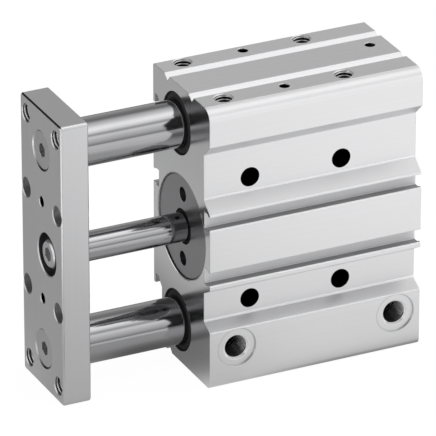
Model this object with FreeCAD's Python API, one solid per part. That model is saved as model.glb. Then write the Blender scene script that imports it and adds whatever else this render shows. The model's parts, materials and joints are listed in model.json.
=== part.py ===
# Guided pneumatic cylinder: one extruded body holds a double-acting drive cylinder between two
# sliding guide rods, and a tooling plate joins the ends of the three rods.
#
# Millimetres. The origin is on the piston axis, at the centre of the four body bolt holes.
# The rods come out towards -X, the air ports are in the -Y face, and +Z runs from the lower
# guide rod to the upper one. The rods stand fully out, and the whole stroke is behind them.
import FreeCAD
import Part
import math
import os

# Clearances, all on the radius
RUNNING_CLEARANCE = 0.05
FREE_CLEARANCE = 0.3
SEAT_CLEARANCE = 0.02
THREAD_CLEARANCE = 0.05
SCREW_CLEARANCE = 0.5

# Drive cylinder
STROKE = 40.0
BORE_D = 32.0
PISTON_ROD_D = 11.0
PISTON_LENGTH = 16.0
BUMPER_LENGTH = 1.5

# Rod gland, screwed into the front of the body with a pin wrench
GLAND_RECESS = 0.5
GLAND_STEP = 4.0
GLAND_FLANGE_LENGTH = 7.5
GLAND_NOSE_LENGTH = 8.0
GLAND_NOSE_D = 20.0
GLAND_CHAMFER = 0.5
PIN_HOLE_D = 5.7
PIN_HOLE_DEPTH = 4.0
PIN_HOLE_SPACING = 26.0
ROD_WIPER_WALL = 1.35
ROD_WIPER_LENGTH = 3.6
ROD_SEAL_WALL = 3.1
ROD_SEAL_LENGTH = 3.2
ROD_SEAL_LAND = 1.6
ROD_BUSH_WALL = 1.0
ROD_BUSH_LAND = 0.6

# Rear cap, held by a circlip
REAR_CAP_STEP = 1.0
REAR_CAP_LENGTH = 5.0
REAR_HUB_LENGTH = 4.0
REAR_HUB_D = 20.0
REAR_RECESS_DEPTH = 2.0
CIRCLIP_THICKNESS = 1.1
CIRCLIP_SIDE_CLEARANCE = 0.1
CIRCLIP_GROOVE_DEPTH = 0.9
CIRCLIP_BAND = 3.3
CIRCLIP_OFFSET = 0.6
CIRCLIP_GAP = 4.8
CIRCLIP_EAR_R = 2.3
CIRCLIP_EAR_HOLE_R = 0.9
REAR_LIP = 0.8
O_RING_SECTION = 1.8

# Piston and its rings
PISTON_CHAMFER = 0.4
PISTON_LAND = 2.0
PISTON_RING_GAP = 1.2
PISTON_SEAL_LENGTH = 3.4
PISTON_SEAL_HEIGHT = 3.0
MAGNET_LENGTH = 3.6
MAGNET_HEIGHT = 3.2
WEAR_RING_LENGTH = 3.0
WEAR_RING_HEIGHT = 1.8
WEAR_RING_SLIT = 1.0
ROD_SEAT_DEPTH = 3.0
ROD_SPIGOT_D = 8.0
ROD_SPIGOT_END_GAP = 0.5
NUT_WIDTH = 13.0
NUT_THICKNESS = 5.0
NUT_POCKET_DEPTH = 6.0
NUT_POCKET_CLEARANCE = 0.8

# Guides
GUIDE_ROD_D = 18.0
GUIDE_PITCH = 80.0
GUIDE_Y = 4.0
GUIDE_ROD_CHAMFER = 1.0
GUIDE_ROD_END_GAP = 1.0
GUIDE_BUSH_WALL = 1.0
GUIDE_BUSH_LENGTH = 16.0
GUIDE_BUSH_OVERRUN = 2.0
GUIDE_BUSH_GAP = 0.5
GUIDE_WIPER_WALL = 3.0
GUIDE_WIPER_DEPTH = 5.0
GUIDE_WIPER_RECESS = 0.6
GUIDE_WIPER_LIP = 1.2

# Body section
GUIDE_TO_END = 16.0
PORT_SIDE_WALL = 4.0
TOP_PORT_CORNER_R = 4.5
BOTTOM_PORT_CORNER_R = 2.0
BACK_CORNER_R = 1.0
SENSOR_SLOT_Z = 8.6
SENSOR_SLOT_MOUTH = 5.2
SENSOR_SLOT_UNDERCUT = 0.7
SENSOR_SLOT_LIP = 1.1
SENSOR_SLOT_FLARE = 0.8
SENSOR_SLOT_DEPTH = 4.6
SIDE_RECESS_DEPTH = 5.0
SIDE_RECESS_Z = 18.7
UPPER_LIP_NOSE = 1.1
LOWER_LIP_NOSE = 2.0
UPPER_LAND = 14.4
UPPER_RAMP = 4.8
LOWER_LAND = 23.0
LOWER_RAMP = 2.5
T_SLOT_FROM_GUIDE = 3.2
T_SLOT_NECK = 8.2
T_SLOT_HEAD = 15.2
T_SLOT_LIP = 1.5
T_SLOT_HEAD_WALL = 2.1
T_SLOT_DEPTH = 6.8
T_SLOT_GUIDE_WALL = 1.2
GROOVE_DEPTH = 2.0
GROOVE_BACK_FLANK = 2.8
GROOVE_PORT_FLANK = 1.7
TOP_GROOVE_BACK_Y = 11.6
TOP_GROOVE_PORT_Y = -9.0
BOTTOM_GROOVE_Y = 10.3

# Body holes
BODY_BOLT_D = 7.1
BODY_BOLT_SPACING_X = 37.0
BODY_BOLT_SPACING_Z = 49.0
BODY_BOLT_FROM_FRONT = 18.5
PORT_THREAD_D = 8.8
PORT_THREAD_DEPTH = 10.0
PORT_SPOTFACE_D = 15.2
PORT_SPOTFACE_DEPTH = 0.6
PORT_CHAMFER = 0.7
PORT_Z = -41.0
PORT_FROM_BORE_END = 3.0
AIR_PASSAGE_D = 3.5
AIR_PASSAGE_FROM_FACE = 11.5
TOP_BOLT_D = 6.8
TOP_BOLT_DEPTH = 10.0
TOP_BOLT_CHAMFER = 0.35
TOP_BOLT_FROM_FRONT = 9.8
TOP_BOLT_SPACING_X = 48.4
TOP_ROW_PORT_Y = -15.0
TOP_ROW_BACK_Y = 19.6
TOP_DOWEL_D = 4.0
TOP_DOWEL_DEPTH = 6.0
TOP_DOWEL_FROM_FRONT = 34.2
TOP_BLIND_HOLE_D = 4.0
TOP_BLIND_HOLE_DEPTH = 4.5
TOP_BLIND_HOLE_FROM_REAR = 7.5
REAR_BOLT_D = 5.0
REAR_BOLT_DEPTH = 14.0
REAR_BOLT_CHAMFER = 0.6
REAR_BOLT_FROM_FACE = 9.0
REAR_BOLT_FROM_END = 6.5

# Tooling plate
PLATE_RETRACTED_GAP = 3.0
PLATE_THICKNESS = 11.0
PLATE_WIDTH = 35.5
PLATE_HEIGHT = 112.0
PLATE_Y = 4.2
PLATE_CORNER_R = 1.5
PLATE_EDGE_CHAMFER = 0.5
PLATE_CORNER_HOLE_D = 6.8
PLATE_CORNER_HOLE_CHAMFER = 0.35
PLATE_CORNER_FROM_EDGE = 4.9
PLATE_CORNER_FROM_END = 6.5
PLATE_SIDE_HOLE_D = 7.6
PLATE_SIDE_HOLE_CHAMFER = 0.3
PLATE_SIDE_FROM_EDGE = 4.2
PLATE_SIDE_SPACING_Z = 39.0
PLATE_DOWEL_D = 4.0
PLATE_DOWEL_DEPTH = 8.0
PLATE_DOWEL_CHAMFER = 0.25

# Screws in the plate
GUIDE_SCREW_D = 8.0
GUIDE_COUNTERSINK_D = 15.6
GUIDE_SCREW_HEAD_D = 14.2
GUIDE_SCREW_RECESS = 0.4
GUIDE_SCREW_LENGTH = 25.0
GUIDE_SCREW_SOCKET = 5.0
GUIDE_SCREW_SOCKET_DEPTH = 3.5
ROD_SCREW_D = 6.0
ROD_SCREW_HEAD_D = 10.4
ROD_SCREW_HEAD_HEIGHT = 6.0
ROD_SCREW_HEAD_CHAMFER = 0.6
ROD_SCREW_GRIP = 14.0
ROD_SCREW_SOCKET = 5.0
ROD_SCREW_SOCKET_DEPTH = 3.5
ROD_SCREW_RECESS = 0.4
ROD_COUNTERBORE_D = 16.2
ROD_COUNTERBORE_CHAMFER = 0.4
WASHER_D = 15.6
WASHER_THICKNESS = 1.6
SCREW_TIP_CHAMFER = 0.8
TAPPED_HOLE_RUN_OUT = 2.0

# Places along X, from the front of the body to its rear
BODY_FRONT = -(BODY_BOLT_FROM_FRONT + BODY_BOLT_SPACING_X / 2)
GLAND_FRONT = BODY_FRONT + GLAND_RECESS
GLAND_FLANGE_REAR = GLAND_FRONT + GLAND_FLANGE_LENGTH
GLAND_NOSE_END = GLAND_FLANGE_REAR + GLAND_NOSE_LENGTH
PISTON_FRONT = GLAND_NOSE_END + BUMPER_LENGTH
PISTON_REAR = PISTON_FRONT + PISTON_LENGTH
REAR_BUMPER_FRONT = PISTON_REAR + STROKE
REAR_HUB_FRONT = REAR_BUMPER_FRONT + BUMPER_LENGTH
REAR_CAP_FRONT = REAR_HUB_FRONT + REAR_HUB_LENGTH
REAR_CAP_REAR = REAR_CAP_FRONT + REAR_CAP_LENGTH
CIRCLIP_GROOVE_REAR = REAR_CAP_REAR + CIRCLIP_THICKNESS + CIRCLIP_SIDE_CLEARANCE
BODY_REAR = CIRCLIP_GROOVE_REAR + REAR_LIP
PLATE_REAR = BODY_FRONT - STROKE - PLATE_RETRACTED_GAP
PLATE_FRONT = PLATE_REAR - PLATE_THICKNESS
GUIDE_ROD_END = BODY_REAR - STROKE - GUIDE_ROD_END_GAP
GUIDE_WIPER_SEAT = BODY_FRONT + GUIDE_WIPER_DEPTH
ROD_SHOULDER = PISTON_FRONT + ROD_SEAT_DEPTH
NUT_SEAT = PISTON_REAR - NUT_POCKET_DEPTH
ROD_SPIGOT_END = PISTON_REAR - ROD_SPIGOT_END_GAP

# Radii that several pieces share
BORE_R = BORE_D / 2
PISTON_ROD_R = PISTON_ROD_D / 2
GUIDE_ROD_R = GUIDE_ROD_D / 2
GLAND_R = BORE_R + GLAND_STEP
REAR_BORE_R = BORE_R + REAR_CAP_STEP
GUIDE_BORE_R = GUIDE_ROD_R + GUIDE_BUSH_WALL
GUIDE_WIPER_R = GUIDE_ROD_R + GUIDE_WIPER_WALL
SEALED_R = BORE_R - RUNNING_CLEARANCE

# Body faces and axes
TOP = GUIDE_PITCH / 2 + GUIDE_TO_END
BACK_FACE = GUIDE_Y + GUIDE_WIPER_R + T_SLOT_GUIDE_WALL + T_SLOT_DEPTH
PORT_FACE = -(GLAND_R + PORT_SIDE_WALL)
T_SLOT_Z = GUIDE_PITCH / 2 - T_SLOT_FROM_GUIDE
PISTON_AXIS = (0.0, 0.0)
GUIDE_AXES = {"upper": (GUIDE_Y, GUIDE_PITCH / 2), "lower": (GUIDE_Y, -GUIDE_PITCH / 2)}
TOP_ROWS = (TOP_ROW_PORT_Y, TOP_ROW_BACK_Y)


def prism(outline, start, end):
    """Solid between two places along X whose section is an outline of (y, z) points."""
    corners = [FreeCAD.Vector(start, y, z) for y, z in outline]
    section = Part.Face(Part.makePolygon(corners + corners[:1]))
    return section.extrude(FreeCAD.Vector(end - start, 0, 0))


def turned(profile, axis):
    """Piece turned about an axis along X, from (x, radius) points."""
    y, z = axis
    corners = [FreeCAD.Vector(x, y, z + radius) for x, radius in profile]
    section = Part.Face(Part.makePolygon(corners + corners[:1]))
    return section.revolve(FreeCAD.Vector(0, y, z), FreeCAD.Vector(1, 0, 0), 360)


def disc(start, end, radius, axis):
    """Round bar or round hole along X."""
    return turned([(start, 0), (start, radius), (end, radius), (end, 0)], axis)


def tube(start, end, inner_r, outer_r, axis):
    """Plain ring or bush along X."""
    return turned([(start, inner_r), (start, outer_r), (end, outer_r), (end, inner_r)], axis)


def hexagon(start, end, width, axis):
    """Six-sided bar along X, measured across its flats."""
    y, z = axis
    corner_r = width / math.sqrt(3)
    angles = [math.radians(60 * side) for side in range(6)]
    outline = [(y + corner_r * math.sin(a), z + corner_r * math.cos(a)) for a in angles]
    return prism(outline, start, end)


def drilling(mouth, inward, diameter, depth, chamfer=0.0):
    """Blind hole from its mouth into the material, with a countersunk edge."""
    radius = diameter / 2
    hole = Part.makeCylinder(radius, depth, mouth, inward)
    if chamfer:
        hole = hole.fuse(Part.makeCone(radius + chamfer, radius, chamfer, mouth, inward))
    return hole


def o_ring(place, centre_r):
    """Round-section ring on the piston axis."""
    return Part.makeTorus(centre_r, O_RING_SECTION / 2, FreeCAD.Vector(place, 0, 0), FreeCAD.Vector(1, 0, 0))


def long_edges(block, y_side, z_side):
    """Edges along X of a block, on the chosen side of its centre in Y and in Z."""
    centre = block.BoundBox.Center
    edges = [edge for edge in block.Edges if abs(edge.tangentAt(edge.FirstParameter).x) > 0.5]
    middles = [(edge, edge.CenterOfMass - centre) for edge in edges]
    return [edge for edge, place in middles if place.y * y_side > 0 and place.z * z_side > 0]


def sensor_slots():
    """Four undercut slots for position sensors, two in each wide face."""
    slots = []
    mouth_end = SENSOR_SLOT_Z + SENSOR_SLOT_MOUTH
    half = [
        (0, SENSOR_SLOT_Z),
        (SENSOR_SLOT_LIP, SENSOR_SLOT_Z),
        (SENSOR_SLOT_LIP + SENSOR_SLOT_FLARE, SENSOR_SLOT_Z - SENSOR_SLOT_UNDERCUT),
        (SENSOR_SLOT_DEPTH, SENSOR_SLOT_Z - SENSOR_SLOT_UNDERCUT),
        (SENSOR_SLOT_DEPTH, mouth_end + SENSOR_SLOT_UNDERCUT),
        (SENSOR_SLOT_LIP + SENSOR_SLOT_FLARE, mouth_end + SENSOR_SLOT_UNDERCUT),
        (SENSOR_SLOT_LIP, mouth_end),
        (0, mouth_end),
    ]
    for face, inward in ((PORT_FACE, 1), (BACK_FACE, -1)):
        for side in (1, -1):
            outline = [(face + inward * depth, side * z) for depth, z in half]
            slots.append(prism(outline, BODY_FRONT, BODY_REAR))
    return slots


def side_recess(side, land_edge, ramp, lip_nose):
    """Shallow channel in the port face, between an outer land and the lip of a sensor slot."""
    lip_z = SENSOR_SLOT_Z + SENSOR_SLOT_MOUTH + lip_nose
    half = [
        (0, land_edge),
        (SIDE_RECESS_DEPTH, land_edge - ramp),
        (SIDE_RECESS_DEPTH, SIDE_RECESS_Z),
        (0, lip_z),
    ]
    outline = [(PORT_FACE + depth, side * z) for depth, z in half]
    return prism(outline, BODY_FRONT, BODY_REAR)


def t_slot(side):
    """T-slot in the back face, with sloped shoulders at the bottom of its head."""
    shoulder = T_SLOT_LIP + T_SLOT_HEAD_WALL
    floor_half = T_SLOT_HEAD / 2 - (T_SLOT_DEPTH - shoulder)
    half = [
        (0, T_SLOT_NECK / 2),
        (T_SLOT_LIP, T_SLOT_NECK / 2),
        (T_SLOT_LIP, T_SLOT_HEAD / 2),
        (shoulder, T_SLOT_HEAD / 2),
        (T_SLOT_DEPTH, floor_half),
    ]
    half += [(depth, -offset) for depth, offset in reversed(half)]
    outline = [(BACK_FACE - depth, side * T_SLOT_Z + offset) for depth, offset in half]
    return prism(outline, BODY_FRONT, BODY_REAR)


def v_groove(y, side):
    """V groove along the top or bottom face, with a wider flank towards the back face."""
    face = side * TOP
    outline = [
        (y + GROOVE_BACK_FLANK, face),
        (y, face - side * GROOVE_DEPTH),
        (y - GROOVE_PORT_FLANK, face),
    ]
    return prism(outline, BODY_FRONT, BODY_REAR)


def cylinder_bores():
    """Bore of the drive cylinder, with its gland seat, rear cap seat and circlip groove."""
    circlip_groove_r = REAR_BORE_R + CIRCLIP_GROOVE_DEPTH
    return [
        disc(BODY_FRONT, BODY_REAR, BORE_R, PISTON_AXIS),
        disc(BODY_FRONT, GLAND_FLANGE_REAR, GLAND_R + SEAT_CLEARANCE, PISTON_AXIS),
        disc(REAR_CAP_FRONT, BODY_REAR, REAR_BORE_R, PISTON_AXIS),
        disc(REAR_CAP_REAR, CIRCLIP_GROOVE_REAR, circlip_groove_r, PISTON_AXIS),
    ]


def guide_bores():
    """Through bores for the guide rods and their bushes, with wiper seats at the front."""
    bores = []
    for axis in GUIDE_AXES.values():
        bores.append(disc(BODY_FRONT, BODY_REAR, GUIDE_BORE_R, axis))
        bores.append(disc(BODY_FRONT, GUIDE_WIPER_SEAT, GUIDE_WIPER_R, axis))
    return bores


def air_ports():
    """Threaded ports with spotfaces, each joined to its end of the bore by a drilled passage."""
    inward = FreeCAD.Vector(0, 1, 0)
    cuts = []
    for x in (GLAND_FLANGE_REAR + PORT_FROM_BORE_END, REAR_CAP_FRONT - PORT_FROM_BORE_END):
        mouth = FreeCAD.Vector(x, PORT_FACE, PORT_Z)
        seat = mouth + inward * PORT_SPOTFACE_DEPTH
        passage = FreeCAD.Vector(x, PORT_FACE + AIR_PASSAGE_FROM_FACE, PORT_Z)
        cuts.append(Part.makeCylinder(PORT_SPOTFACE_D / 2, PORT_SPOTFACE_DEPTH, mouth, inward))
        cuts.append(drilling(seat, inward, PORT_THREAD_D, PORT_THREAD_DEPTH, PORT_CHAMFER))
        cuts.append(Part.makeCylinder(AIR_PASSAGE_D / 2, -PORT_Z, passage, FreeCAD.Vector(0, 0, 1)))
    return cuts


def body_bolt_holes():
    """Four plain holes right through the body, from the port side to the back face."""
    holes = []
    for x in (-BODY_BOLT_SPACING_X / 2, BODY_BOLT_SPACING_X / 2):
        for z in (-BODY_BOLT_SPACING_Z / 2, BODY_BOLT_SPACING_Z / 2):
            mouth = FreeCAD.Vector(x, PORT_FACE, z)
            holes.append(drilling(mouth, FreeCAD.Vector(0, 1, 0), BODY_BOLT_D, BACK_FACE - PORT_FACE))
    return holes


def top_holes():
    """Tapped holes and dowel holes in two rows along the top face, and one small blind hole."""
    down = FreeCAD.Vector(0, 0, -1)
    first_bolt = BODY_FRONT + TOP_BOLT_FROM_FRONT
    holes = []
    for y in TOP_ROWS:
        for x in (first_bolt, first_bolt + TOP_BOLT_SPACING_X):
            mouth = FreeCAD.Vector(x, y, TOP)
            holes.append(drilling(mouth, down, TOP_BOLT_D, TOP_BOLT_DEPTH, TOP_BOLT_CHAMFER))
        mouth = FreeCAD.Vector(BODY_FRONT + TOP_DOWEL_FROM_FRONT, y, TOP)
        holes.append(drilling(mouth, down, TOP_DOWEL_D, TOP_DOWEL_DEPTH))
    mouth = FreeCAD.Vector(BODY_REAR - TOP_BLIND_HOLE_FROM_REAR, GUIDE_Y, TOP)
    holes.append(drilling(mouth, down, TOP_BLIND_HOLE_D, TOP_BLIND_HOLE_DEPTH))
    return holes


def rear_bolt_holes():
    """Four tapped holes near the corners of the rear face."""
    forward = FreeCAD.Vector(-1, 0, 0)
    end = TOP - REAR_BOLT_FROM_END
    holes = []
    for y in (PORT_FACE + REAR_BOLT_FROM_FACE, BACK_FACE - REAR_BOLT_FROM_FACE):
        for z in (-end, end):
            mouth = FreeCAD.Vector(BODY_REAR, y, z)
            holes.append(drilling(mouth, forward, REAR_BOLT_D, REAR_BOLT_DEPTH, REAR_BOLT_CHAMFER))
    return holes


def body_extrusion():
    """Aluminium extrusion that is both the cylinder tube and the guide housing."""
    corner = FreeCAD.Vector(BODY_FRONT, PORT_FACE, -TOP)
    size = (BODY_REAR - BODY_FRONT, BACK_FACE - PORT_FACE, 2 * TOP)
    cuts = [
        side_recess(1, TOP - UPPER_LAND, UPPER_RAMP, UPPER_LIP_NOSE),
        side_recess(-1, TOP - LOWER_LAND, LOWER_RAMP, LOWER_LIP_NOSE),
        t_slot(1),
        t_slot(-1),
        v_groove(TOP_GROOVE_BACK_Y, 1),
        v_groove(TOP_GROOVE_PORT_Y, 1),
        v_groove(BOTTOM_GROOVE_Y, -1),
    ]
    cuts += sensor_slots() + cylinder_bores() + guide_bores()
    cuts += body_bolt_holes() + air_ports() + top_holes() + rear_bolt_holes()
    block = Part.makeBox(*size, corner)
    block = block.makeFillet(TOP_PORT_CORNER_R, long_edges(block, -1, 1))
    block = block.makeFillet(BOTTOM_PORT_CORNER_R, long_edges(block, -1, -1))
    block = block.makeFillet(BACK_CORNER_R, long_edges(block, 1, 1) + long_edges(block, 1, -1))
    return block.cut(cuts)


def rod_gland():
    """Screwed gland: a flange with two pin-wrench holes, and a nose that holds the rod bush."""
    front = GLAND_FRONT
    wiper_r = PISTON_ROD_R + ROD_WIPER_WALL
    free_r = PISTON_ROD_R + FREE_CLEARANCE
    seal_r = PISTON_ROD_R + ROD_SEAL_WALL
    bush_r = PISTON_ROD_R + ROD_BUSH_WALL
    wiper_seat = front + ROD_WIPER_LENGTH
    seal_front = wiper_seat + ROD_SEAL_LAND
    seal_rear = seal_front + ROD_SEAL_LENGTH
    bush_seat = seal_rear + ROD_BUSH_LAND
    blank = turned([
        (front, wiper_r),
        (front, GLAND_R - GLAND_CHAMFER),
        (front + GLAND_CHAMFER, GLAND_R),
        (GLAND_FLANGE_REAR, GLAND_R),
        (GLAND_FLANGE_REAR, GLAND_NOSE_D / 2),
        (GLAND_NOSE_END, GLAND_NOSE_D / 2),
        (GLAND_NOSE_END, bush_r),
        (bush_seat, bush_r),
        (bush_seat, free_r),
        (wiper_seat, free_r),
        (wiper_seat, wiper_r),
    ], PISTON_AXIS)
    cuts = [
        tube(seal_front, seal_rear, free_r, seal_r, PISTON_AXIS),
        o_ring_groove(gland_o_ring_place(), GLAND_R),
    ]
    for z in (-PIN_HOLE_SPACING / 2, PIN_HOLE_SPACING / 2):
        mouth = FreeCAD.Vector(front, 0, z)
        cuts.append(drilling(mouth, FreeCAD.Vector(1, 0, 0), PIN_HOLE_D, PIN_HOLE_DEPTH))
    return blank.cut(cuts)


def o_ring_groove(place, surface_r):
    """Square groove for an O-ring that seals outwards."""
    half_width = O_RING_SECTION / 2 + 2 * RUNNING_CLEARANCE
    bottom_r = surface_r - O_RING_SECTION - RUNNING_CLEARANCE
    return tube(place - half_width, place + half_width, bottom_r, surface_r + FREE_CLEARANCE, PISTON_AXIS)


def gland_o_ring_place():
    """Middle of the gland's O-ring, near the rear of the flange."""
    return GLAND_FLANGE_REAR - O_RING_SECTION


def gland_o_ring():
    """Static seal between the gland and the body."""
    return o_ring(gland_o_ring_place(), GLAND_R - O_RING_SECTION / 2)


def rod_wiper():
    """Scraper ring in the mouth of the gland, with a lip that leans outwards along the rod."""
    rear = GLAND_FRONT + ROD_WIPER_LENGTH
    seat_r = PISTON_ROD_R + ROD_WIPER_WALL - SEAT_CLEARANCE
    lip_r = PISTON_ROD_R + RUNNING_CLEARANCE
    inner_r = PISTON_ROD_R + FREE_CLEARANCE
    return turned([
        (GLAND_FRONT, lip_r),
        (GLAND_FRONT, lip_r + ROD_WIPER_WALL / 3),
        (GLAND_FRONT + GLAND_CHAMFER, seat_r),
        (rear, seat_r),
        (rear, inner_r),
        (GLAND_FRONT + ROD_WIPER_LENGTH / 3, inner_r),
    ], PISTON_AXIS)


def rod_seal():
    """Lip seal in the gland, open towards the pressure side."""
    front = GLAND_FRONT + ROD_WIPER_LENGTH + ROD_SEAL_LAND + SEAT_CLEARANCE
    rear = front + ROD_SEAL_LENGTH - 2 * SEAT_CLEARANCE
    inner_r = PISTON_ROD_R + RUNNING_CLEARANCE
    outer_r = PISTON_ROD_R + ROD_SEAL_WALL - SEAT_CLEARANCE
    middle_r = (inner_r + outer_r) / 2
    lip = ROD_SEAL_WALL / 4
    return turned([
        (front, inner_r + FREE_CLEARANCE),
        (front, outer_r),
        (rear, outer_r),
        (rear, outer_r - lip),
        ((front + rear) / 2, middle_r),
        (rear, inner_r + lip),
        (rear, inner_r),
        ((front + rear) / 2, inner_r),
    ], PISTON_AXIS)


def rod_bush():
    """Plain bush that guides the piston rod in the nose of the gland."""
    seal_rear = GLAND_FRONT + ROD_WIPER_LENGTH + ROD_SEAL_LAND + ROD_SEAL_LENGTH
    inner_r = PISTON_ROD_R + RUNNING_CLEARANCE
    outer_r = PISTON_ROD_R + ROD_BUSH_WALL - SEAT_CLEARANCE
    return tube(seal_rear + ROD_BUSH_LAND, GLAND_NOSE_END, inner_r, outer_r, PISTON_AXIS)


def bumper(start, carrier_d):
    """Rubber ring that cushions the piston at one end of its stroke."""
    outer_r = carrier_d / 2 - FREE_CLEARANCE
    inner_r = PISTON_ROD_R + ROD_BUSH_WALL + FREE_CLEARANCE
    return tube(start, start + BUMPER_LENGTH, inner_r, outer_r, PISTON_AXIS)


def rear_cap():
    """Blind cap with a hub that carries the rear bumper, seated on the step in the bore."""
    seat_r = REAR_BORE_R - SEAT_CLEARANCE
    recess_r = REAR_HUB_D / 2
    blank = turned([
        (REAR_HUB_FRONT, 0),
        (REAR_HUB_FRONT, REAR_HUB_D / 2),
        (REAR_CAP_FRONT, REAR_HUB_D / 2),
        (REAR_CAP_FRONT, seat_r),
        (REAR_CAP_REAR, seat_r),
        (REAR_CAP_REAR, recess_r),
        (REAR_CAP_REAR - REAR_RECESS_DEPTH, recess_r - REAR_RECESS_DEPTH),
        (REAR_CAP_REAR - REAR_RECESS_DEPTH, 0),
    ], PISTON_AXIS)
    return blank.cut(o_ring_groove(rear_o_ring_place(), seat_r))


def rear_o_ring_place():
    """Middle of the rear cap's O-ring, half way along the cap."""
    return (REAR_CAP_FRONT + REAR_CAP_REAR) / 2


def rear_cap_o_ring():
    """Static seal between the rear cap and the bore."""
    return o_ring(rear_o_ring_place(), REAR_BORE_R - RUNNING_CLEARANCE - O_RING_SECTION / 2)


def rear_circlip():
    """Open spring ring behind the rear cap, widest opposite its gap, with a holed ear at each end."""
    start = REAR_CAP_REAR
    end = start + CIRCLIP_THICKNESS
    outer_r = REAR_BORE_R + CIRCLIP_GROOVE_DEPTH - RUNNING_CLEARANCE
    inner_r = outer_r - CIRCLIP_BAND
    ring = disc(start, end, outer_r, PISTON_AXIS).cut(disc(start, end, inner_r, (0, -CIRCLIP_OFFSET)))
    ear_y = CIRCLIP_GAP / 2 + CIRCLIP_EAR_R / 2
    ear_z = -math.sqrt(inner_r ** 2 - ear_y ** 2)
    ears = [disc(start, end, CIRCLIP_EAR_R, (y, ear_z)) for y in (-ear_y, ear_y)]
    holes = [disc(start, end, CIRCLIP_EAR_HOLE_R, (y, ear_z)) for y in (-ear_y, ear_y)]
    gap_corner = FreeCAD.Vector(start, -CIRCLIP_GAP / 2, -REAR_BORE_R - CIRCLIP_GROOVE_DEPTH)
    gap = Part.makeBox(CIRCLIP_THICKNESS, CIRCLIP_GAP, REAR_BORE_R, gap_corner)
    return ring.fuse(ears).cut(holes + [gap]).removeSplitter()


def guide_bushes(axis):
    """Front and rear bushes of one guide rod, the rear one just short of the rod's inner end."""
    inner_r = GUIDE_ROD_R + RUNNING_CLEARANCE
    outer_r = GUIDE_BORE_R - SEAT_CLEARANCE
    front_start = GUIDE_WIPER_SEAT + GUIDE_BUSH_GAP
    rear_end = GUIDE_ROD_END - GUIDE_BUSH_OVERRUN
    return {
        "front": tube(front_start, front_start + GUIDE_BUSH_LENGTH, inner_r, outer_r, axis),
        "rear": tube(rear_end - GUIDE_BUSH_LENGTH, rear_end, inner_r, outer_r, axis),
    }


def guide_wiper(axis):
    """Scraper ring at the mouth of a guide bore, with a raised lip round the rod."""
    face = BODY_FRONT + GUIDE_WIPER_RECESS
    outer_r = GUIDE_WIPER_R - SEAT_CLEARANCE
    lip_r = GUIDE_ROD_R + RUNNING_CLEARANCE
    inner_r = GUIDE_ROD_R + FREE_CLEARANCE
    return turned([
        (BODY_FRONT, lip_r),
        (BODY_FRONT, lip_r + GUIDE_WIPER_RECESS),
        (face, lip_r + GUIDE_WIPER_LIP),
        (face, outer_r),
        (GUIDE_WIPER_SEAT, outer_r),
        (GUIDE_WIPER_SEAT, inner_r),
        (face + GUIDE_WIPER_LIP, inner_r),
    ], axis)


def guide_rod(axis):
    """Hard-chromed guide rod, tapped at its front end for the screw in the plate."""
    bar = turned([
        (PLATE_REAR, 0),
        (PLATE_REAR, GUIDE_ROD_R),
        (GUIDE_ROD_END - GUIDE_ROD_CHAMFER, GUIDE_ROD_R),
        (GUIDE_ROD_END, GUIDE_ROD_R - GUIDE_ROD_CHAMFER),
        (GUIDE_ROD_END, 0),
    ], axis)
    thread_end = PLATE_FRONT + GUIDE_SCREW_LENGTH + TAPPED_HOLE_RUN_OUT
    return bar.cut(disc(PLATE_REAR, thread_end, GUIDE_SCREW_D / 2 + THREAD_CLEARANCE, axis))


def guide_rod_screw(axis):
    """Countersunk socket screw whose head lies just below the plate's face, and which holds a guide rod to it."""
    head_r = GUIDE_SCREW_HEAD_D / 2
    shank_r = GUIDE_SCREW_D / 2
    face = PLATE_FRONT + GUIDE_SCREW_RECESS
    rim = PLATE_FRONT + GUIDE_COUNTERSINK_D / 2 - head_r
    tip = PLATE_FRONT + GUIDE_SCREW_LENGTH
    blank = turned([
        (face, 0),
        (face, head_r),
        (rim, head_r),
        (rim + head_r - shank_r, shank_r),
        (tip - SCREW_TIP_CHAMFER, shank_r),
        (tip, shank_r - SCREW_TIP_CHAMFER),
        (tip, 0),
    ], axis)
    socket_end = face + GUIDE_SCREW_SOCKET_DEPTH
    return blank.cut(hexagon(face, socket_end, GUIDE_SCREW_SOCKET, axis))


def guide_screw_hole(axis):
    """Countersunk hole in the plate for a guide rod screw."""
    mouth_r = GUIDE_COUNTERSINK_D / 2 + THREAD_CLEARANCE
    hole_r = GUIDE_SCREW_D / 2 + SCREW_CLEARANCE
    return turned([
        (PLATE_FRONT, 0),
        (PLATE_FRONT, mouth_r),
        (PLATE_FRONT + mouth_r - hole_r, hole_r),
        (PLATE_REAR, hole_r),
        (PLATE_REAR, 0),
    ], axis)


def rod_screw_places():
    """Where the piston rod screw's head starts, and where its head and its washer end."""
    head_front = PLATE_FRONT + ROD_SCREW_RECESS
    head_rear = head_front + ROD_SCREW_HEAD_HEIGHT
    return head_front, head_rear, head_rear + WASHER_THICKNESS


def piston_rod_screw():
    """Socket head cap screw that holds the plate to the piston rod."""
    head_front, head_rear, _ = rod_screw_places()
    tip = PLATE_REAR + ROD_SCREW_GRIP
    head_r = ROD_SCREW_HEAD_D / 2
    shank_r = ROD_SCREW_D / 2
    blank = turned([
        (head_front, 0),
        (head_front, head_r - ROD_SCREW_HEAD_CHAMFER),
        (head_front + ROD_SCREW_HEAD_CHAMFER, head_r),
        (head_rear, head_r),
        (head_rear, shank_r),
        (tip - SCREW_TIP_CHAMFER, shank_r),
        (tip, shank_r - SCREW_TIP_CHAMFER),
        (tip, 0),
    ], PISTON_AXIS)
    socket_end = head_front + ROD_SCREW_SOCKET_DEPTH
    return blank.cut(hexagon(head_front, socket_end, ROD_SCREW_SOCKET, PISTON_AXIS))


def piston_rod_washer():
    """Thick washer under the head of the piston rod screw."""
    _, head_rear, washer_rear = rod_screw_places()
    return tube(head_rear, washer_rear, ROD_SCREW_D / 2 + FREE_CLEARANCE, WASHER_D / 2, PISTON_AXIS)


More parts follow.
